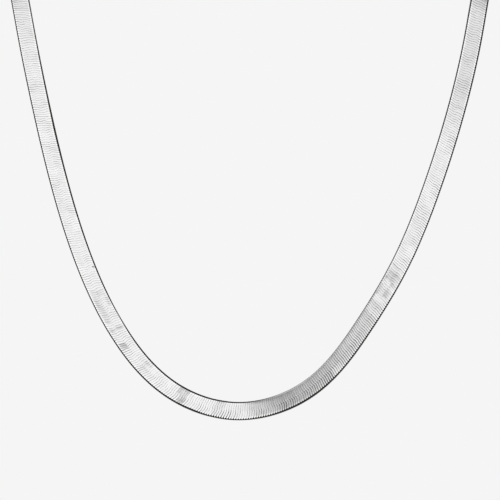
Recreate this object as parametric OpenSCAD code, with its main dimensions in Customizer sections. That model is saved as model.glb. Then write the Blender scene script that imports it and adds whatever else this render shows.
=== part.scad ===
// A herringbone chain: one flat band of nested slanted ribs, worn as a necklace, and its clasp.
// Millimetres, +Z up. The origin is on the neck side of the clasp, at its middle.
// The front hangs in one upright plane with its face along -Y, and +X is the viewer's right.

/* [Chain] */
// Width across the flat face
chain_w = 4.2; // [3.2:0.5:5.2]
// Thickness from face to back
chain_t = 1.2; // [0.8:0.1:1.6]
// Roundness of the edges, from nearly sharp corners to an oval
edge_round = 0.4; // [0.2:0.05:1]

/* [Loop] */
// Height of the origin above the lowest point of the middle line
drop = 143; // [138:1:150]
// Distance from the hanging front back to the origin
depth = 61; // [58:1:66]
// Radius of the stretch round the back of the neck
neck_r = 57.5; // [56:0.5:60]
// Lean of that stretch, down towards the front, in degrees
neck_lean = 30; // [26:1:34]

/* [Clasp] */
// Length along the chain
clasp_l = 16; // [12:1:20]
// Metal round the end of the chain
clasp_wall = 0.6; // [0.5:0.1:1]
// Bevel round both ends
clasp_bevel = 0.4; // [0.2:0.1:0.4]
// Length of each chain end inside the clasp
grip_l = 4; // [2:0.5:5]
// Clearance between the chain and the clasp
clearance = 0.15; // [0.1:0.05:0.3]

/* [Fineness] */
// Distance between two rings of points along the band
ring_gap = 2.2; // [1.5:0.1:4]
// Points in a ring
ring_points = 12; // [8:4:16]

/* [Hidden] */

// The front's middle line from the wearer's right shoulder round to the left one.
// SIDE is across from the middle of the loop, UP is above the lowest point, BACK is behind
// the front plane, and TURN is how far the face turns away from -Y, in degrees.
SIDE = 0;
UP = 1;
BACK = 2;
TURN = 3;
front_rows = [
    [-56.6, 113.2, 12.0, -58],
    [-53.7, 100.8, 1.4, -19],
    [-50.7, 85.2, 0, -5],
    [-47.2, 68.1, 0, -4],
    [-43.1, 51.1, 0, -3],
    [-37.8, 34.4, 0, -1],
    [-30.3, 18.7, 0, 0],
    [-18.8, 5.5, 0, 0],
    [-2.4, 0, 0, 0],
    [14.0, 5.5, 0, 0],
    [25.4, 18.6, 0, 0],
    [34.3, 33.7, 0, 1],
    [41.0, 49.9, 0, 3],
    [46.3, 66.5, 0, 4],
    [50.4, 83.5, 0, 5],
    [53.4, 99.8, 1.4, 19],
    [56.6, 113.2, 12.0, 58]
];

// The stretch round the neck is an arc of stations on each side of the nape
neck_step = 18;
neck_steps = 4;

clasp_w = chain_w + 2 * (clasp_wall + clearance);
clasp_t = chain_t + 2 * (clasp_wall + clearance);
lean_back = [0, cos(neck_lean), sin(neck_lean)];
neck_middle = lean_back * (clasp_t / 2 - neck_r);

// A station is a place, in its first three numbers, and the way its face looks, in the last three
function neck_station(a) =
    let (out = [sin(a), 0, 0] + lean_back * cos(a))
    concat(neck_middle + neck_r * out, out);
function front_station(row) =
    concat(
        [row[SIDE], row[BACK] - depth, row[UP] - drop],
        [sin(row[TURN]), -cos(row[TURN]), 0]
    );
function place(station) = [station[0], station[1], station[2]];
function face(station) = [station[3], station[4], station[5]];
function unit(v) = v / norm(v);

stations = concat(
    [for (i = [0 : neck_steps]) neck_station(-i * neck_step)],
    [for (row = front_rows) front_station(row)],
    [for (i = [neck_steps : -1 : 1]) neck_station(i * neck_step)]
);
spans = len(stations);

// The middle line is a closed cubic curve through every station. Its controls are found by
// correcting each one against its two neighbours until the curve meets the stations.
function before(i) = (i + spans - 1) % spans;
function after(i) = (i + 1) % spans;
function settle(p, rounds) =
    rounds == 0
        ? p
        : settle(
            [for (i = [0 : spans - 1]) (6 * stations[i] - p[before(i)] - p[after(i)]) / 4],
            rounds - 1
        );
controls = settle(stations, 30);

// The curve between station i and the next one, at share f of the way
function blend(i, f) = (
    pow(1 - f, 3) * controls[before(i)]
    + (3 * pow(f, 3) - 6 * f * f + 4) * controls[i]
    + (1 + 3 * f + 3 * f * f - 3 * pow(f, 3)) * controls[after(i)]
    + pow(f, 3) * controls[after(after(i))]
) / 6;
function curve(u) = blend(floor(u) % spans, u - floor(u));

// Travel is the distance along the curve from the nape, in pairs with the curve's own measure
travel_steps = 10 * spans;
travel_marks = [for (k = [0 : travel_steps]) place(curve(k * spans / travel_steps))];
travel = [
    for (
        k = 0, d = 0;
        k <= travel_steps;
        d = k < travel_steps ? d + norm(travel_marks[k + 1] - travel_marks[k]) : d,
        k = k + 1
    )
    [d, k * spans / travel_steps]
];
loop_l = travel[travel_steps][0];
function along(d) = curve(lookup((d + loop_l) % loop_l, travel));

// The cross-section is a superellipse, flat on its face and back and round at its edges
function soften(v) = sign(v) * pow(abs(v), edge_round);
function section(w, t) = [
    for (k = [0 : ring_points - 1])
    let (a = 360 * k / ring_points)
    [w / 2 * soften(cos(a)), t / 2 * soften(sin(a))]
];

// A ring of points at distance d along the loop, square to the way that the band runs
sight = 0.5;
function ring(d, w, t) =
    let (
        here = along(d),
        ahead = unit(place(along(d + sight)) - place(along(d - sight))),
        out = unit(face(here) - ahead * (face(here) * ahead)),
        across = cross(ahead, out)
    )
    [for (q = section(w, t)) place(here) + across * q.x + out * q.y];

// A band from one distance along the loop to another, with a bevel round both of its ends
module band(from, to, w, t, bevel = 0) {
    inner_from = from + bevel;
    inner_to = to - bevel;
    steps = ceil((inner_to - inner_from) / ring_gap);
    body_rings = [
        for (k = [0 : steps])
        ring(inner_from + (inner_to - inner_from) * k / steps, w, t)
    ];
    rings = bevel == 0
        ? body_rings
        : concat(
            [ring(from, w - 2 * bevel, t - 2 * bevel)],
            body_rings,
            [ring(to, w - 2 * bevel, t - 2 * bevel)]
        );
    n = ring_points;
    last = (len(rings) - 1) * n;
    walls = [
        for (k = [0 : len(rings) - 2], j = [0 : n - 1])
        let (here = k * n, next = (j + 1) % n)
        [here + j, here + next, here + n + next, here + n + j]
    ];
    start_cap = [for (j = [n - 1 : -1 : 0]) j];
    end_cap = [for (j = [0 : n - 1]) last + j];
    polyhedron([for (r = rings) each r], concat([start_cap], walls, [end_cap]), convexity = 8);
}

// The chain: a flat band, open at the nape, where the clasp takes both of its ends
module chain() {
    end = clasp_l / 2 - grip_l;
    color("silver")
        band(end, loop_l - end, chain_w, chain_t);
}

// The clasp: a plain curved bar, with a pocket at each end for an end of the chain
module clasp() {
    end = clasp_l / 2;
    floor_at = end - grip_l - clearance;
    pocket_w = chain_w + 2 * clearance;
    pocket_t = chain_t + 2 * clearance;
    color("gainsboro")
        difference() {
            band(-end, end, clasp_w, clasp_t, clasp_bevel);
            band(floor_at, end + ring_gap, pocket_w, pocket_t);
            band(-end - ring_gap, -floor_at, pocket_w, pocket_t);
        }
}

chain();
clasp();
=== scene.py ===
"""A polished silver herringbone chain, hanging as it is worn, with its plain clasp at the nape.

Metres, +Z up, the face of the hanging front along -Y, the origin at the nape. Lengths in the
chain's own sections are in millimetres, as its makers give them, and MM turns them to metres.
"""

import bpy
import numpy as np
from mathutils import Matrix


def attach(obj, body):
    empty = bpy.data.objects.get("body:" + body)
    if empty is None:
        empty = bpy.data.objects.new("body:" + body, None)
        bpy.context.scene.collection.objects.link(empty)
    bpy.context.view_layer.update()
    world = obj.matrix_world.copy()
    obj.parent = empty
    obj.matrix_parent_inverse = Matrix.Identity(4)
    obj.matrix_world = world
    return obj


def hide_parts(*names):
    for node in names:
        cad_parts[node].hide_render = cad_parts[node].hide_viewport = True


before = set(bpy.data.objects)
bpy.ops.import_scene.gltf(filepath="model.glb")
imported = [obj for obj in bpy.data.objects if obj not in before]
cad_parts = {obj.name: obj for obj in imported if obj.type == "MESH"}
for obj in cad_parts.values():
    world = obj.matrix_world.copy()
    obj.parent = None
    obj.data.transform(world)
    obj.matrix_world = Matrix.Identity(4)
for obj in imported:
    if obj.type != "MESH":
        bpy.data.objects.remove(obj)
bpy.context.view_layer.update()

# The camera and the studio: a long lens square to the hanging front, white panels before it,
# beside it, behind it and overhead that the silver mirrors, with dim room between them, a soft
# lamp and a pale floor far below. Paper white is what the picture's background measures.
MIDDLE_Z = -0.10639
FRONT_Y = -0.061
CAMERA_AWAY = 0.7
HALF_VIEW = 0.056825
PAPER = 0.913

bpy.context.scene.view_settings.view_transform = "Standard"
lens = bpy.data.cameras.new("lens")
lens.sensor_width = 36
lens.lens = lens.sensor_width / 2 * CAMERA_AWAY / HALF_VIEW
camera = bpy.data.objects.new("camera", lens)
camera.location = (0, FRONT_Y - CAMERA_AWAY, MIDDLE_Z)
camera.rotation_euler = (np.pi / 2, 0, 0)
bpy.context.scene.collection.objects.link(camera)
bpy.context.scene.camera = camera

# The light of the front panel and of the dim room, and what share of the panel's light is left
# in the grey band above its middle and at its two sides
FRONT_LIGHT = 1.05
ROOM_LIGHT = 0.14
BAND_SHARE = 0.30
RIGHT_SHARE = 0.78
LEFT_SHARE = 0.82

# Where that panel, the light below and above its band, and its dimmer sides begin and are whole.
# A place is how far a direction of length 1 goes to the back, up or to the right.
FRONT_EDGE = (-0.30, -0.46)
BELOW_BAND = (0.26, 0.14)
ABOVE_BAND = (0.50, 0.62)
RIGHT_SIDE = (0.1, 0.8)
LEFT_SIDE = (-0.2, -0.8)

# The other panels: which of those ways each one lies, where it begins and is whole, its light
RIGHT, BACK, UP = range(3)
PANELS = [
    (RIGHT, 0.82, 0.95, 0.50),
    (RIGHT, -0.82, -0.95, 0.62),
    (BACK, 0.45, 0.75, 0.82),
    (UP, 0.45, 0.80, 0.70),
    (UP, -0.50, -0.85, 0.45),
]

FLOOR_Z = -0.3
FLOOR_RADIUS = 1.3
FLOOR_CORNERS = 96
FLOOR_DARK = 0.93
FLOOR_LIGHT = 0.96


def wire(tree, kind, values=None, links=None, **settings):
    """A node of that kind: its settings, its sockets' own values, and what feeds its sockets."""
    node = tree.nodes.new(kind)
    for name, value in settings.items():
        setattr(node, name, value)
    for socket, value in (values or {}).items():
        node.inputs[socket].default_value = value
    for socket, source in (links or {}).items():
        tree.links.new(source, node.inputs[socket])
    return node


def ease(tree, source, at_0, at_1, low=0.0, high=1.0):
    """A value that turns smoothly from low to high while its source goes from at_0 to at_1."""
    return wire(
        tree,
        "ShaderNodeMapRange",
        {"From Min": at_0, "From Max": at_1, "To Min": low, "To Max": high},
        {"Value": source},
        interpolation_type="SMOOTHSTEP",
    ).outputs["Result"]


def reckon(tree, operation, first, second=0.0):
    """The two values put together by that operation, where either may be a plain number."""
    pair = {0: first, 1: second}
    return wire(
        tree,
        "ShaderNodeMath",
        {k: v for k, v in pair.items() if isinstance(v, float)},
        {k: v for k, v in pair.items() if not isinstance(v, float)},
        operation=operation,
    ).outputs[0]


def hang_studio():
    """The light by direction. Silver mirrors the panels: one round the camera, with a grey band
    above its middle and less light towards its sides, and others at both sides, behind,
    overhead and on the floor. All else gets paper white."""
    world = bpy.data.worlds.new("studio")
    world.use_nodes = True
    tree = world.node_tree
    tree.nodes.clear()
    look = wire(tree, "ShaderNodeTexCoord").outputs["Generated"]
    ways = wire(tree, "ShaderNodeSeparateXYZ", links={0: look}).outputs
    below_band = ease(tree, ways[UP], *BELOW_BAND, BAND_SHARE, 1.0)
    above_band = ease(tree, ways[UP], *ABOVE_BAND, BAND_SHARE, 1.0)
    seen = ease(tree, ways[BACK], *FRONT_EDGE, 0.0, FRONT_LIGHT)
    for share in (
        reckon(tree, "MAXIMUM", below_band, above_band),
        ease(tree, ways[RIGHT], *RIGHT_SIDE, 1.0, RIGHT_SHARE),
        ease(tree, ways[RIGHT], *LEFT_SIDE, 1.0, LEFT_SHARE),
    ):
        seen = reckon(tree, "MULTIPLY", seen, share)
    seen = reckon(tree, "MAXIMUM", seen, ROOM_LIGHT)
    for way, begins, whole, light in PANELS:
        seen = reckon(tree, "MAXIMUM", seen, ease(tree, ways[way], begins, whole, 0.0, light))
    path = wire(tree, "ShaderNodeLightPath").outputs["Is Glossy Ray"]
    mirrored = wire(tree, "ShaderNodeBackground", links={"Color": seen})
    paper = wire(tree, "ShaderNodeBackground", {"Color": (PAPER, PAPER, PAPER, 1)})
    mix = wire(
        tree, "ShaderNodeMixShader", links={0: path, 1: paper.outputs[0], 2: mirrored.outputs[0]}
    )
    wire(tree, "ShaderNodeOutputWorld", links={"Surface": mix.outputs[0]})
    bpy.context.scene.world = world


def hang_lamp():
    """A wide soft lamp up on the left, turned to the chain, that gives the floor a faint shade."""
    lamp = bpy.data.lights.new("soft_lamp", "AREA")
    lamp.size = 0.7
    lamp.energy = 1.5
    piece = bpy.data.objects.new("soft_lamp", lamp)
    piece.location = (-0.6, FRONT_Y - 0.5, 0.6)
    piece.rotation_euler = (np.radians(45), 0, np.radians(-50))
    piece.visible_glossy = False
    bpy.context.scene.collection.objects.link(piece)


def lay_floor():
    """A flat disc: one corner at the middle and a ring of corners at the radius, as a fan."""
    turn = np.linspace(0, 2 * np.pi, FLOOR_CORNERS, endpoint=False)
    rim = np.stack([np.cos(turn), np.sin(turn), 0 * turn], -1) * FLOOR_RADIUS
    points = np.vstack([rim + (0, FRONT_Y, FLOOR_Z), (0, FRONT_Y, FLOOR_Z)])
    here = np.arange(FLOOR_CORNERS)
    fan = np.stack([here, np.roll(here, -1), np.full_like(here, FLOOR_CORNERS)], -1)
    mesh = bpy.data.meshes.new("floor")
    mesh.from_pydata(points.tolist(), [], fan.tolist())
    material = bpy.data.materials.new("paper")
    material.use_nodes = True
    tree = material.node_tree
    shader = tree.nodes["Principled BSDF"]
    grain = wire(tree, "ShaderNodeTexNoise", {"Scale": 40.0, "Detail": 6.0}).outputs["Fac"]
    tone = ease(tree, grain, 0.2, 0.8, FLOOR_DARK, FLOOR_LIGHT)
    tree.links.new(tone, shader.inputs["Base Color"])
    shader.inputs["Roughness"].default_value = 0.9
    mesh.materials.append(material)
    floor = bpy.data.objects.new("floor", mesh)
    floor.visible_glossy = False
    bpy.context.scene.collection.objects.link(floor)


hang_studio()
hang_lamp()
lay_floor()

# The chain: about 840 links of flattened sterling silver wire, nested so closely that they make
# one supple band. They are rolled flat and burnished, so each link shows as a slanted rib that
# bends in an S at the middle line. The band is one length, open at the nape in the clasp.
MM = 0.001
CHAIN_W = 4.2
CHAIN_T = 1.2
DROP = 143.0
DEPTH = 61.0
NECK_R = 57.5
NECK_LEAN = 30.0
NECK_STEP = 18.0
NECK_STEPS = 4
CLEARANCE = 0.15
CLASP_WALL = 0.6
CLASP_L = 16.0
CLASP_W = CHAIN_W + 2 * (CLASP_WALL + CLEARANCE)
CLASP_T = CHAIN_T + 2 * (CLASP_WALL + CLEARANCE)
GRIP_L = 4.0

# Middle line of the front: across, above its lowest point, behind the front plane, face's turn
FRONT_ROWS = np.array(
    [
        [-56.6, 113.2, 12.0, -58],
        [-53.7, 100.8, 1.4, -19],
        [-50.7, 85.2, 0, -5],
        [-47.2, 68.1, 0, -4],
        [-43.1, 51.1, 0, -3],
        [-37.8, 34.4, 0, -1],
        [-30.3, 18.7, 0, 0],
        [-18.8, 5.5, 0, 0],
        [-2.4, 0, 0, 0],
        [14.0, 5.5, 0, 0],
        [25.4, 18.6, 0, 0],
        [34.3, 33.7, 0, 1],
        [41.0, 49.9, 0, 3],
        [46.3, 66.5, 0, 4],
        [50.4, 83.5, 0, 5],
        [53.4, 99.8, 1.4, 19],
        [56.6, 113.2, 12.0, 58],
    ]
)
ROUTE_STEPS = 9000


def neck_stations(turns):
    """Places on the arc round the neck, at those turns from the nape, and the way out of it."""
    lean = np.radians(NECK_LEAN)
    lean_back = np.array([0, np.cos(lean), np.sin(lean)])
    turns = np.radians(turns)[:, None]
    out = np.sin(turns) * (1, 0, 0) + np.cos(turns) * lean_back
    return np.hstack([lean_back * (CLASP_T / 2 - NECK_R) + NECK_R * out, out])


def front_stations(rows):
    """Places of the front's middle line, and the way that its face looks there."""
    side, up, back, turn = rows.T
    turn = np.radians(turn)
    return np.stack(
        [side, back - DEPTH, up - DROP, np.sin(turn), -np.cos(turn), 0 * turn], -1
    )


def run_route():
    """The closed cubic curve through every station: its controls p solve
    (p before + 4 p + p after) / 6 = station. Travel is the length run from the nape.
    Gives travel, and at each mark the place, the way ahead, the way out and the way across."""
    steps = np.arange(NECK_STEPS + 1) * NECK_STEP
    stations = np.vstack(
        [neck_stations(-steps), front_stations(FRONT_ROWS), neck_stations(steps[:0:-1])]
    )
    count = len(stations)
    one = np.eye(count)
    controls = np.linalg.solve(
        (np.roll(one, 1, 0) + 4 * one + np.roll(one, -1, 0)) / 6, stations
    )
    u = np.linspace(0, count, ROUTE_STEPS + 1)
    span = np.floor(u).astype(int)
    f = (u - span)[:, None]
    p = [controls[(span + k) % count] for k in (-1, 0, 1, 2)]
    blend = (
        (1 - f) ** 3 * p[0]
        + (3 * f**3 - 6 * f**2 + 4) * p[1]
        + (1 + 3 * f + 3 * f**2 - 3 * f**3) * p[2]
        + f**3 * p[3]
    ) / 6
    place = blend[:, :3]
    step = np.diff(place, axis=0)
    travel = np.append(0, np.cumsum(np.linalg.norm(step, axis=1)))
    ahead = np.roll(step, 1, 0) + step
    ahead = np.vstack([ahead, ahead[:1]])
    ahead /= np.linalg.norm(ahead, axis=1, keepdims=True)
    out = blend[:, 3:] - ahead * (blend[:, 3:] * ahead).sum(1, keepdims=True)
    out /= np.linalg.norm(out, axis=1, keepdims=True)
    return travel, np.hstack([place, ahead, out, np.cross(ahead, out)])


route_travel, route_marks = run_route()
loop_length = route_travel[-1]


def set_on_route(travel, across, out, twist=0.0):
    """Points at that travel, moved across the band and out of its face, in metres. Twist turns
    the cross-section about the way ahead, in radians, so that its face looks outwards."""
    d = np.asarray(travel) % loop_length
    marks = np.stack([np.interp(d, route_travel, column) for column in route_marks.T], -1)
    place, ways_out, ways_across = marks[..., :3], marks[..., 6:9], marks[..., 9:]
    x = across * np.cos(twist) + out * np.sin(twist)
    y = out * np.cos(twist) - across * np.sin(twist)
    return (place + ways_across * x[..., None] + ways_out * y[..., None]) * MM


def skin(name, rings, fields=None):
    """A closed skin: quads from each ring of points to the next, and a fan over each end ring.
    Fields are values at the points, kept on the mesh as attributes for its material."""
    rows, columns = rings.shape[:2]
    row, column = np.meshgrid(np.arange(rows - 1), np.arange(columns), indexing="ij")
    here = row * columns + column
    beside = row * columns + (column + 1) % columns
    quads = np.stack([here, beside, beside + columns, here + columns], -1).reshape(-1, 4)
    middles = np.stack([rings[0].mean(0), rings[-1].mean(0)])
    points = np.vstack([rings.reshape(-1, 3), middles])
    first, last = beside[0], here[0]
    start = np.stack([first, last, np.full(columns, rows * columns)], -1)
    end = np.stack([last, first, np.full(columns, rows * columns + 1)], -1)
    end[:, :2] += (rows - 1) * columns
    mesh = bpy.data.meshes.new(name)
    mesh.from_pydata(points.tolist(), [], quads.tolist() + start.tolist() + end.tolist())
    for field, values in (fields or {}).items():
        flat = values.reshape(rows * columns, -1)
        flat = np.vstack([flat, flat[:1], flat[-1:]])
        kind, slot = ("FLOAT", "value") if flat.shape[1] == 1 else ("FLOAT_VECTOR", "vector")
        attribute = mesh.attributes.new(field, kind, "POINT")
        attribute.data.foreach_set(slot, flat.astype(np.float32).ravel())
    piece = bpy.data.objects.new(name, mesh)
    bpy.context.scene.collection.objects.link(piece)
    return piece


# The band's outline, as places across it: the face from the inner edge to the outer one, round
# that edge, and back. The bends of the wire round both edges a little.
FACE_OUTER = np.array([0.18, 0.38, 0.62, 0.88, 1.14, 1.39, 1.60])
FACE_X = np.concatenate([-FACE_OUTER[::-1], [0], FACE_OUTER])
EDGE_X = np.array([1.77, 1.90, 2.01, 2.08, 2.1, 2.03])
EDGE_UP = np.array([1, 1, 1, 1, 0, -1])
BACK_X = np.array([1.58, -1.58])
ROUND_POWER = 9


def outline():
    """A superellipse, (across / half width)^n + (out / half thickness)^n = 1, and its normal,
    which goes with the powers n - 1 over the half width and half thickness."""
    half_w, half_t = CHAIN_W / 2, CHAIN_T / 2
    x = np.concatenate([FACE_X, EDGE_X, BACK_X, -EDGE_X[::-1]])
    up = np.concatenate([0 * FACE_X + 1, EDGE_UP, 0 * BACK_X - 1, EDGE_UP[::-1]])
    n = ROUND_POWER
    y = up * half_t * (1 - (np.abs(x) / half_w) ** n) ** (1 / n)
    nx = np.sign(x) * (np.abs(x) / half_w) ** (n - 1) / half_w
    ny = up * (np.abs(y) / half_t) ** (n - 1) / half_t
    size = np.hypot(nx, ny)
    return x, y, nx / size, ny / size


def smooth_step(value, start, end):
    """From 0 to 1 as value goes from start to end: 3 s squared - 2 s cubed."""
    s = np.clip((value - start) / (end - start), 0, 1)
    return s * s * (3 - 2 * s)


# The ribs: how far apart they lie, how far from the middle line they bend, and how far a rib
# lags at the outer edge and leads at the inner one
RIB_PITCH = 0.532
RIB_BEND = 0.9
OUTER_LAG = 0.61
INNER_LEAD = 0.61

# How far the inner half of a rib steps ahead of its outer half at the middle line, by travel
STEP_AT = np.array([120, 135, 166, 200, 213, 224, 236, 248, 257, 265, 289, 307, 324, 340])
STEP = np.array([0, 0.07, -0.08, 0, -0.08, -0.03, -0.12, -0.15, 0.08, 0, 0, 0.03, -0.10, 0])

# Where across the band, towards its inner edge, that step begins, is whole and starts to fade
STEP_BEGINS = -0.15
STEP_WHOLE = 0.4
STEP_FADES = 1.7

# How strongly the two halves of a rib slant, by travel
SLANT_AT = np.array([110, 128, 157, 180, 199, 213, 224, 235, 246, 258, 270, 290, 307, 325, 350])
INNER_SLANT = np.array(
    [1, 0.65, 0.70, 0.60, 0.38, 0.75, 0.62, 0.30, 0.15, 1.1, 1.1, 1.08, 1.13, 0.88, 1]
)
OUTER_SLANT = np.array(
    [1, 0.68, 0.76, 0.76, 0.82, 1.05, 1.05, 0.95, 0.93, 1.03, 1.08, 1.0, 1.1, 0.92, 1]
)


def rib_line(base, x, y):
    """How far along the band a rib's line runs ahead of its middle, at that place across. On
    the face its outer half lags and its inner half leads: the line bends evenly, as the square
    of the distance, up to the rib's bend from the middle line, and runs straight from there.
    The inner half's step is added. On the back the line runs straight between the edges."""
    half_w = CHAIN_W / 2
    lag = OUTER_LAG * np.interp(base, SLANT_AT, OUTER_SLANT)
    lead = INNER_LEAD * np.interp(base, SLANT_AT, INNER_SLANT)
    reach = np.abs(x)
    bent = np.where(reach < RIB_BEND, reach**2 / (2 * RIB_BEND), reach - RIB_BEND / 2)
    slanted = np.where(x > 0, -lag, lead) * bent / (half_w - RIB_BEND / 2)
    step = np.interp(base, STEP_AT, STEP) * smooth_step(-x, STEP_BEGINS, STEP_WHOLE)
    step = step * smooth_step(-x, half_w, STEP_FADES)
    at_edges = (lead - lag) / 2 - (lead + lag) / 2 * x / half_w
    return np.where(y > 0, slanted + step, at_edges)


# How far a rib's crown rises from the outline, and how far its groove sinks on the face, and at
# the edges and back. Each link also leans along the band, by a random half degree or so.
RIB_DOME = 0.012
FACE_GROOVE = 0.08
BACK_GROOVE = 0.07
LEAN_SPREAD = 0.6

# The ribs stand rounder where the bend holds them open, and less so on the inner half
BULGE_AT = np.array([236, 246, 264, 272])
BULGE = np.array([0, 2.2, 2.2, 0])
INNER_BULGE_SHARE = 0.5

# Links that lie a little turned: first and last place along the band, inner and outer bound
# across it, and how far their faces look along the band, in degrees. They lie closer together.
TURNED = [
    [183.4, 191.9, 0.0, 2.1, -4.6],
    [184.4, 185.6, -2.1, 0.0, -4.6],
    [185.6, 188.3, -2.1, -0.9, -4.8],
    [193.0, 194.5, -2.1, 2.1, -5.4],
    [197.7, 198.9, 0.0, 2.1, -6.8],
    [204.0, 205.8, -1.5, 0.5, -6.3],
    [214.1, 216.8, -2.1, 0.0, -9.8],
    [215.0, 216.6, 0.0, 2.1, -10.5],
    [253.0, 255.6, 0.2, 2.1, -2.5],
    [271.2, 272.6, -1.5, 0.9, -1.5],
    [272.6, 274.9, -2.1, -1.3, 3.6],
    [272.8, 275.4, 0.0, 1.0, 3.8],
    [275.4, 277.2, -2.1, -1.3, 4.4],
    [275.9, 278.2, 0.1, 2.1, 5.4],
    [276.8, 278.4, -2.1, 0.1, 5.4],
    [278.2, 280.5, 0.1, 2.1, 6.6],
    [278.4, 280.2, -2.1, 0.1, 6.2],
    [318.9, 322.9, 0.0, 2.1, 2.5],
]
TURNED_GAP_SHARE = 0.35

# The band twists for a short way before its lowest place, and slowly past it: its face looks in
# and up there, in degrees. A stray twist is added, which changes once in every span of travel.
ROLL_AT = np.array(
    [222.5, 223.7, 225.1, 226.3, 229, 231.2, 232.5, 235.3, 238]
    + [240, 252, 264, 267.3, 268.6, 272.6, 276, 281]
)
ROLL = np.array(
    [0, -4.5, -4.5, 0, 0, -3.8, -5.7, -6.7, -8.0]
    + [-9.5, -10.6, -10.2, -9.6, -7.6, -7.4, -4.0, 0]
)
ROLL_STRAY = 0.6
ROLL_SPAN = 9.0

# How far the gaps between ribs open, by travel: round the bend, wider outside it than inside
GAP_AT = np.array([120, 157, 184, 200, 213, 226, 237, 249, 259, 268, 292, 307, 326, 341])
GAP_INNER = np.array([1.6, 1.65, 1.5, 1.75, 1.75, 2.1, 1.1, 0.8, 0.9, 1.1, 2.5, 1.9, 2.2, 2.0])
GAP_OUTER = np.array([1.2, 1.35, 1.2, 1.6, 2.3, 2.7, 2.3, 2.9, 2.5, 1.7, 1.7, 1.85, 1.8, 1.1])
GAP_SPAN = 2.3
GAP_BY_STRETCH = (0.5, 1.5)
GAP_BY_RIB = (0.6, 1.4)

# Half the gap between two ribs on the face, by place across: tighter on the inner half, and
# widest at the outer edge. At the edges and on the back it has a least width and a spread.
GAP_PLACE = np.array([-0.18, 0.18, 1.14, 1.60])
GAP_WIDTH = np.array([0.0125, 0.0165, 0.0165, 0.0235])
BACK_GAP = 0.013
BACK_GAP_SPREAD = 0.024

# One link is nicked at the inner edge, so that its groove gapes there
NICK_AT = 179.2
NICK_X = -1.3
NICK_GAP = 0.13

# How far a line strays from groove to groove, and how far the ribs wave along the band, between
# its middle line and its edges, by travel
LINE_STRAY = 0.02
WAVE_AT = np.array([90, 110, 180, 200, 215, 235, 270, 300, 345, 370])
WAVE = np.array([0.12, 0.26, 0.26, 0.14, 0.07, 0.05, 0.05, 0.09, 0.09, 0.12])
WAVE_SPAN = 2.4
WAVE_SEED = 18

# How much painted shade darkens the face, by travel, on its inner and outer half, where its
# links turn to dimmer light, and how far from the middle line the one turns into the other
SHADE_AT = np.array([90, 110, 124, 130, 226, 229, 236, 256, 264, 315, 323, 338, 343, 370])
SHADE_INNER = np.array([0, 0.4, 0.4, 0, 0, 0.4, 0.65, 0.65, 0.2, 0, 0.75, 0.75, 0.2, 0])
SHADE_OUTER = np.array([0, 0.4, 0.4, 0, 0, 0.2, 0.1, 0.1, 0, 0, 0.75, 0.75, 0.2, 0])
SHADE_BLEND = 0.4
# A random tone of the ribs as well, that changes once in every span of travel and from rib to rib
DULL_SPAN = 1.9
DULL_BY_STRETCH = 0.2
DULL_BY_RIB = 0.2

# Most of the painted groove shade is taken off from these places to both edges of the face,
# where the rib ends bend round and catch the light, which is painted as a highlight
LIT_MARGIN_SHARE = 0.85
LIT_MARGIN_OUTER = (1.4, 1.75)
LIT_MARGIN_INNER = (1.5, 1.75)

# How wide the painted shade lies along the band's corners, by travel: the dim room that the
# rounded corners mirror, painted as a dark line
EDGE_AT = np.array(
    [122, 130, 137, 146, 156, 184, 191, 199, 206, 214]
    + [219, 224, 230, 238, 245, 254, 268, 290, 320, 341]
)
EDGE_SHADE_INNER = np.array(
    [0.24, 0.29, 0.33, 0.43, 0.33, 0.29, 0.21, 0.32, 0.34, 0.37]
    + [0.36, 0.32, 0.27, 0.19, 0.15, 0.13, 0.17, 0.23, 0.26, 0.27]
)
EDGE_SHADE_OUTER = np.array(
    [0.30, 0.30, 0.31, 0.31, 0.31, 0.29, 0.29, 0.33, 0.37, 0.44]
    + [0.52, 0.42, 0.37, 0.45, 0.46, 0.39, 0.36, 0.33, 0.37, 0.40]
)

# How much wider that painted shade lies over a groove than over a crown, at the outer corners,
# by travel, and what part of that a groove, a shoulder, a crown and the next shoulder have
BEAD_AT = np.array([219, 223, 236, 240, 247, 251, 272, 276])
BEAD = np.array([0.04, 0.16, 0.16, 0.05, 0.05, 0.12, 0.12, 0.05])
BEAD_PARTS = np.array([1.0, 0.5, -1.0, 0.5])[:, None]

PLACES_ACROSS = 7
CHAIN_SEED = 840


def drift(draw, base, span, low, high):
    """A random value that changes smoothly along the band, once in every span of travel."""
    marks = np.arange(0, loop_length + span, span)
    return np.interp(base, marks, draw.uniform(low, high, len(marks)))


def shares_across(x):
    """What part each of the seven places across the band has in a value at x: it falls straight
    from 1 at the place itself to 0 at the places beside it."""
    places = np.linspace(-CHAIN_W / 2, CHAIN_W / 2, PLACES_ACROSS)
    return np.clip(1 - np.abs(x - places[:, None]) / (places[1] - places[0]), 0, 1)


def speckle(draw, grooves, x, low, high):
    """A random value for each groove, that changes straight from place to place across."""
    return draw.uniform(low, high, (grooves, PLACES_ACROSS)) @ shares_across(x)


def ripple(base, x):
    """A wave that neighbouring ribs share, because they nest: random values at five places
    across and once in every span of travel, that change straight from each to the next and
    fade out at both edges."""
    marks = np.arange(0, loop_length + WAVE_SPAN, WAVE_SPAN)
    draw = np.random.default_rng(WAVE_SEED)
    heights = draw.uniform(-1, 1, (len(marks), PLACES_ACROSS))
    heights[:, [0, -1]] = 0
    along = np.clip(1 - np.abs(base - marks) / WAVE_SPAN, 0, 1)
    return along @ heights @ shares_across(x) * np.interp(base, WAVE_AT, WAVE)


def space_ribs():
    """The travel of every rib's groove at the middle line, evenly apart from end to end."""
    start = CLASP_L / 2 - GRIP_L
    room = loop_length - 2 * start - OUTER_LAG - INNER_LEAD
    ribs = int(room / RIB_PITCH)
    return start + OUTER_LAG + np.arange(ribs + 1)[:, None] * RIB_PITCH


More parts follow.
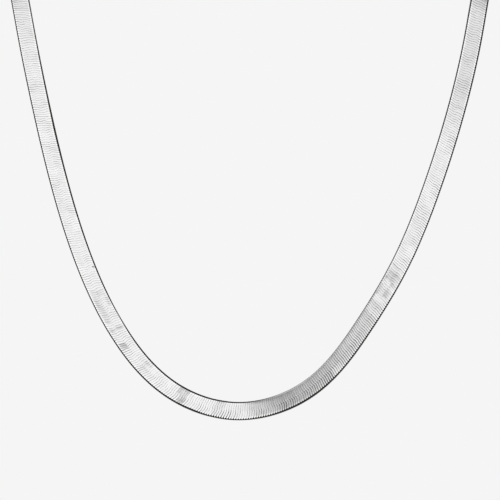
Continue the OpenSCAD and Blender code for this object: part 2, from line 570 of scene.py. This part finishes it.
def turn_links(at, x):
    """How far the face of each link looks along the band at each place across, in degrees."""
    turned = np.zeros((len(at), len(x)))
    for first, last, inner, outer, turn in TURNED:
        turned += turn * ((at >= first) & (at < last) & (x >= inner) & (x <= outer))
    return turned


def open_gaps(draw, at, x, on_face, turned):
    """How far a rib's shoulders stand off the grooves beside it. On the face that is the gap
    by place across, times how far the gaps open by travel, times a random share that changes
    along the band and from groove to groove."""
    spread = np.where(x < 0, np.interp(at, GAP_AT, GAP_INNER), np.interp(at, GAP_AT, GAP_OUTER))
    inner, outer = (drift(draw, at, GAP_SPAN, *GAP_BY_STRETCH) for _ in range(2))
    uneven = np.where(x < 0, inner, outer) * speckle(draw, len(at), x, *GAP_BY_RIB)
    on_top = np.interp(x, GAP_PLACE, GAP_WIDTH) * spread * uneven
    on_top *= np.where(turned == 0, 1.0, TURNED_GAP_SHARE)
    return np.where(on_face, on_top, BACK_GAP_SPREAD * uneven + BACK_GAP)


def wear_ribs(draw, base, x, y, travel, sunk, nicked):
    """What the silver needs to know at each point: its lay, which is its travel and its place
    across and out of the band, how much painted shade it has as a groove, how far its rib is
    darkened by a random tone and by painted shade, and how wide the painted shade lies along
    the nearest corner."""
    level = np.zeros_like(travel)
    lay = np.stack([travel, x + level, y + level], -1)
    by_stretch = np.where(
        x < 0, drift(draw, base, DULL_SPAN, 0, 1), drift(draw, base, DULL_SPAN, 0, 1)
    )
    by_rib = draw.uniform(0, 1, len(base))[:, None, None]
    shade = DULL_BY_STRETCH * by_stretch + DULL_BY_RIB * by_rib + level
    # Painted shade by travel, on the inner and outer half of the face
    inner_shade, outer_shade = (np.interp(base, SHADE_AT, shade_table) for shade_table in (SHADE_INNER, SHADE_OUTER))
    shade += inner_shade + (outer_shade - inner_shade) * smooth_step(x, -SHADE_BLEND, SHADE_BLEND)
    # Less painted groove shade towards both edges, where the margins carry a painted highlight
    lit_margin = smooth_step(x, *LIT_MARGIN_OUTER) + smooth_step(-x, *LIT_MARGIN_INNER)
    dark = sunk * np.maximum(1 - LIT_MARGIN_SHARE * lit_margin, nicked) + level
    # How wide the painted shade lies along the nearest corner
    wide = level + np.where(
        x < 0,
        np.interp(base, EDGE_AT, EDGE_SHADE_INNER),
        np.interp(base, EDGE_AT, EDGE_SHADE_OUTER) + np.interp(base, BEAD_AT, BEAD) * BEAD_PARTS,
    )
    return {"lay": lay, "sunk": dark, "shade": shade, "edge_shade": wide}


def crease_rings(mesh, columns, creased):
    """Smooth shading, but with a crease along each ring that is marked as creased."""
    ends = np.empty(len(mesh.edges) * 2, np.int32)
    mesh.edges.foreach_get("vertices", ends)
    ring = np.minimum(ends.reshape(-1, 2) // columns, len(creased) - 1)
    sharp = (ring[:, 0] == ring[:, 1]) & creased[ring[:, 0]]
    mesh.attributes.new("sharp_edge", "BOOLEAN", "EDGE").data.foreach_set("value", sharp)
    mesh.polygons.foreach_set("use_smooth", np.ones(len(mesh.polygons), bool))


def forge_chain():
    """Each rib has four rows of points along the band: the groove before it, a shoulder, its
    crown midway to the next groove, and a shoulder before that. The shoulders stand off the
    grooves by the gap there. Rows sink or rise along the outline's normal, and a turned link's
    face rises or falls with the tangent of its turn, away from its crown."""
    x, y, nx, ny = outline()
    on_face = np.arange(len(x)) < len(FACE_X)
    draw = np.random.default_rng(CHAIN_SEED)
    at = space_ribs()
    ribs = len(at) - 1
    stray = speckle(draw, len(at), x, -LINE_STRAY, LINE_STRAY) + ripple(at, x)
    lines = at + rib_line(at, x, y) + stray * on_face
    turned = turn_links(at, x)
    nicked = (np.abs(at - NICK_AT) < RIB_PITCH / 2) & (x < NICK_X) & on_face
    gap = np.where(nicked, NICK_GAP, open_gaps(draw, at, x, on_face, turned))
    crown = (lines[:-1] + lines[1:]) / 2
    travel = np.stack([lines[:-1], lines[:-1] + gap[:-1], crown, lines[1:] - gap[1:]], 1)

    base = at[:-1, None]
    sunk = np.array([1.0, 0.0, 0.0, 0.0])[:, None]
    domed = np.array([0.0, 0.0, RIB_DOME, 0.0])[:, None]
    bulge = 1 + np.interp(base, BULGE_AT, BULGE) * np.where(x > 0, 1.0, INNER_BULGE_SHARE)
    lean = draw.normal(0, LEAN_SPREAD, ribs)[:, None, None] + turned[:-1, None]
    lift = -np.tan(np.radians(lean)) * (travel - crown[:, None]) * on_face * (1 - sunk)
    rise = lift + domed * bulge - np.where(on_face, FACE_GROOVE, BACK_GROOVE) * sunk
    roll = np.interp(base, ROLL_AT, ROLL) + drift(draw, base, ROLL_SPAN, -ROLL_STRAY, ROLL_STRAY)
    points = set_on_route(travel, x + nx * rise, y + ny * rise, np.radians(roll))

    fields = wear_ribs(draw, base, x, y, travel, sunk, nicked[:-1, None])
    piece = skin("chain_band", points.reshape(-1, len(x), 3), fields)
    creased = np.tile([True, True, False, True], ribs)
    crease_rings(piece.data, len(x), np.append(creased, False))
    return piece


def burnish():
    """A group for polished silver: fine polishing marks, drawn out along the piece, and soft
    clouds of wear."""
    group = bpy.data.node_groups.new("burnish", "ShaderNodeTree")
    face = group.interface
    face.new_socket("Place", in_out="INPUT", socket_type="NodeSocketVector")
    face.new_socket("Marks", in_out="OUTPUT", socket_type="NodeSocketFloat")
    face.new_socket("Clouds", in_out="OUTPUT", socket_type="NodeSocketFloat")
    place = wire(group, "NodeGroupInput").outputs["Place"]
    drawn = wire(group, "ShaderNodeMapping", {"Scale": (1.6, 14.0, 14.0)}, {"Vector": place})
    marks = wire(
        group,
        "ShaderNodeTexNoise",
        {"Scale": 1.0, "Detail": 3.0, "Roughness": 0.6},
        {"Vector": drawn.outputs["Vector"]},
    )
    clouds = wire(
        group, "ShaderNodeTexNoise", {"Scale": 0.35, "Detail": 4.0}, {"Vector": place}
    )
    wire(
        group,
        "NodeGroupOutput",
        links={"Marks": marks.outputs["Fac"], "Clouds": clouds.outputs["Fac"]},
    )
    return group


def mix_colours(tree, share, first, second):
    """The first colour where the share is 0 and the second where it is 1. The first may be a
    plain colour or a socket, and the second is a plain colour."""
    plain, fed = {"B": second}, {"Factor": share}
    if isinstance(first, tuple):
        plain["A"] = first
    else:
        fed["A"] = first
    return wire(tree, "ShaderNodeMix", plain, fed, data_type="RGBA").outputs["Result"]


def start_silver(name, marks_of_polish):
    """A bare metal with its piece's own lay and, by that lay, the marks and clouds of polish."""
    material = bpy.data.materials.new(name)
    material.use_nodes = True
    tree = material.node_tree
    tree.nodes["Principled BSDF"].inputs["Metallic"].default_value = 1.0
    lay = wire(tree, "ShaderNodeAttribute", attribute_name="lay").outputs["Vector"]
    polish = wire(tree, "ShaderNodeGroup", links={"Place": lay}, node_tree=marks_of_polish)
    return material, lay, polish.outputs["Marks"], polish.outputs["Clouds"]


def finish_silver(tree, colour, clouds, gloss, marks, relief, depth):
    """Puts the colour on the metal, with its roughness between the two values of gloss, by the
    clouds, and the marks as a relief of that strength and depth."""
    shader = tree.nodes["Principled BSDF"]
    bump = wire(
        tree, "ShaderNodeBump", {"Strength": relief, "Distance": depth * MM}, {"Height": marks}
    )
    tree.links.new(colour, shader.inputs["Base Color"])
    tree.links.new(ease(tree, clouds, 0.3, 0.7, *gloss), shader.inputs["Roughness"])
    tree.links.new(bump.outputs["Normal"], shader.inputs["Normal"])


# Silver as burnished, as darkened by a random tone and by painted shade, and as a painted
# highlight along the margins, and the dark of painted shade, with a little tarnish in the grooves
BURNISHED = (0.915, 0.914, 0.913, 1)
DULLED_AND_SHADED = (0.762, 0.762, 0.766, 1)
MARGIN_HIGHLIGHT = (0.998, 0.998, 0.998, 1)
SHADE_AND_TARNISH = (0.04, 0.038, 0.036, 1)

# Where the margin's painted highlight and the line of painted shade along each corner begin and
# are whole: across the band, with the width of that shade added, and out of it. The line is
# fainter where the shade is narrow.
MARGIN_ACROSS = (1.76, 1.86)
CORNER_ACROSS = (2.06, 2.13)
CORNER_OUT = (0.22, 0.40)
NARROW_TO_BROAD = (0.08, 0.30)
NARROW_SHARE = 0.6
GROOVE_SHARE = 0.93


def silver_for_ribs(marks_of_polish):
    """Bright silver on the crowns, darkened in soft clouds by a random tone and by painted shade
    where the links turn to dimmer light, brightest in a painted highlight along both margins,
    and dark in the grooves, with painted shade and a little tarnish, and in a line of painted
    shade along each corner of the band, standing in for the dim room its rounded corners mirror."""
    material, lay, marks, clouds = start_silver("ribbed_silver", marks_of_polish)
    tree = material.node_tree
    sunk, shade, wide = (
        wire(tree, "ShaderNodeAttribute", attribute_name=field).outputs["Fac"]
        for field in ("sunk", "shade", "edge_shade")
    )
    _, across, out = wire(tree, "ShaderNodeSeparateXYZ", links={0: lay}).outputs
    reach = reckon(tree, "ADD", reckon(tree, "ABSOLUTE", across), wide)
    # Darker by a random tone and by painted shade
    bright = mix_colours(tree, shade, BURNISHED, DULLED_AND_SHADED)
    # A painted highlight along both margins
    bright = mix_colours(tree, ease(tree, reach, *MARGIN_ACROSS), bright, MARGIN_HIGHLIGHT)
    # A line of painted shade along each corner
    at_edge = ease(tree, reach, *CORNER_ACROSS)
    for share in (
        ease(tree, wide, *NARROW_TO_BROAD, NARROW_SHARE, 1.0),
        ease(tree, reckon(tree, "ABSOLUTE", out), *CORNER_OUT),
    ):
        at_edge = reckon(tree, "MULTIPLY", at_edge, share)
    # Painted shade in the grooves, with a little tarnish, and the painted shade line at the
    # corners
    in_groove = ease(tree, sunk, 0.0, 0.3, 0.0, GROOVE_SHARE)
    colour = mix_colours(tree, reckon(tree, "MAXIMUM", in_groove, at_edge), bright, SHADE_AND_TARNISH)
    finish_silver(tree, colour, clouds, (0.16, 0.26), marks, relief=0.35, depth=0.004)
    return material


polish_marks = burnish()
chain = forge_chain()
chain.data.materials.append(silver_for_ribs(polish_marks))
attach(chain, "root")
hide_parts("chain")

# The clasp: hidden in the picture, so one plain curved bar of polished silver with no joint. It
# is soldered up from sheet, its outer edges are rounded over, and each end of the chain is
# gripped in the pocket at that end.
POCKET_W = CHAIN_W + 2 * CLEARANCE
POCKET_T = CHAIN_T + 2 * CLEARANCE
MOUTH_BEVEL = 0.05
CLASP_ROUND = 0.4
SECTION_POWER = 0.4
CLASP_POINTS = 48
BAR_RINGS = 18


def solder_clasp():
    """One section, a rounded oblong, carried through a list of places along the band with its
    width and thickness there: floor of a pocket, its mouth, the outside, and back again. The
    section goes with the cosine and sine of the turn, each raised to a power below 1."""
    half = CLASP_L / 2
    floor_at = half - GRIP_L - CLEARANCE
    pocket = [[floor_at, POCKET_W, POCKET_T], [half - MOUTH_BEVEL, POCKET_W, POCKET_T]]
    mouth = [[half, POCKET_W + 2 * MOUTH_BEVEL, POCKET_T + 2 * MOUTH_BEVEL]]
    turns = np.radians([0, 22.5, 45, 67.5, 90])
    cut = 2 * CLASP_ROUND * (1 - np.sin(turns))
    lip_at = half - CLASP_ROUND + CLASP_ROUND * np.cos(turns)
    lip = np.stack([lip_at, CLASP_W - cut, CLASP_T - cut], -1)
    one_end = np.vstack([pocket, mouth, lip])
    bar = np.linspace(half - CLASP_ROUND, CLASP_ROUND - half, BAR_RINGS + 2)[1:-1]
    body = np.stack([bar, 0 * bar + CLASP_W, 0 * bar + CLASP_T], -1)
    other_end = one_end[::-1] * (-1, 1, 1)
    at, width, thick = np.vstack([one_end, body, other_end])[::-1].T[..., None]
    turn = np.linspace(0, 2 * np.pi, CLASP_POINTS, endpoint=False)
    across = np.sign(np.cos(turn)) * np.abs(np.cos(turn)) ** SECTION_POWER / 2
    out = np.sign(np.sin(turn)) * np.abs(np.sin(turn)) ** SECTION_POWER / 2
    lay = np.stack([at + 0 * across, width * across, thick * out], -1)
    return skin("clasp_bar", set_on_route(*np.moveaxis(lay, -1, 0)), {"lay": lay})


# Clean silver, silver under the marks of polish, and a darker colour at the bar's corners, with
# where across and out of the bar it begins and is whole
CLEAN = (0.96, 0.955, 0.945, 1)
MARKED = (0.80, 0.80, 0.805, 1)
BAR_CORNER_DARK = (0.20, 0.19, 0.18, 1)
BAR_ACROSS = (2.45, 2.8)
BAR_OUT = (0.95, 1.3)
BAR_SHARE = 0.55


def silver_for_clasp(marks_of_polish):
    """The same silver with a plain mirror polish, softened by fine marks along the bar, and a
    little darker along its corners."""
    material, lay, marks, clouds = start_silver("plain_silver", marks_of_polish)
    tree = material.node_tree
    _, across, out = wire(tree, "ShaderNodeSeparateXYZ", links={0: lay}).outputs
    worn = mix_colours(tree, ease(tree, marks, 0.35, 0.65), CLEAN, MARKED)
    corner = reckon(
        tree,
        "MULTIPLY",
        ease(tree, reckon(tree, "ABSOLUTE", across), *BAR_ACROSS),
        ease(tree, reckon(tree, "ABSOLUTE", out), *BAR_OUT, 0.0, BAR_SHARE),
    )
    colour = mix_colours(tree, corner, worn, BAR_CORNER_DARK)
    finish_silver(tree, colour, clouds, (0.08, 0.14), marks, relief=0.3, depth=0.006)
    return material


clasp = solder_clasp()
clasp.data.materials.append(silver_for_clasp(polish_marks))
clasp.data.polygons.foreach_set("use_smooth", np.ones(len(clasp.data.polygons), bool))
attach(clasp, "root")
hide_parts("clasp")
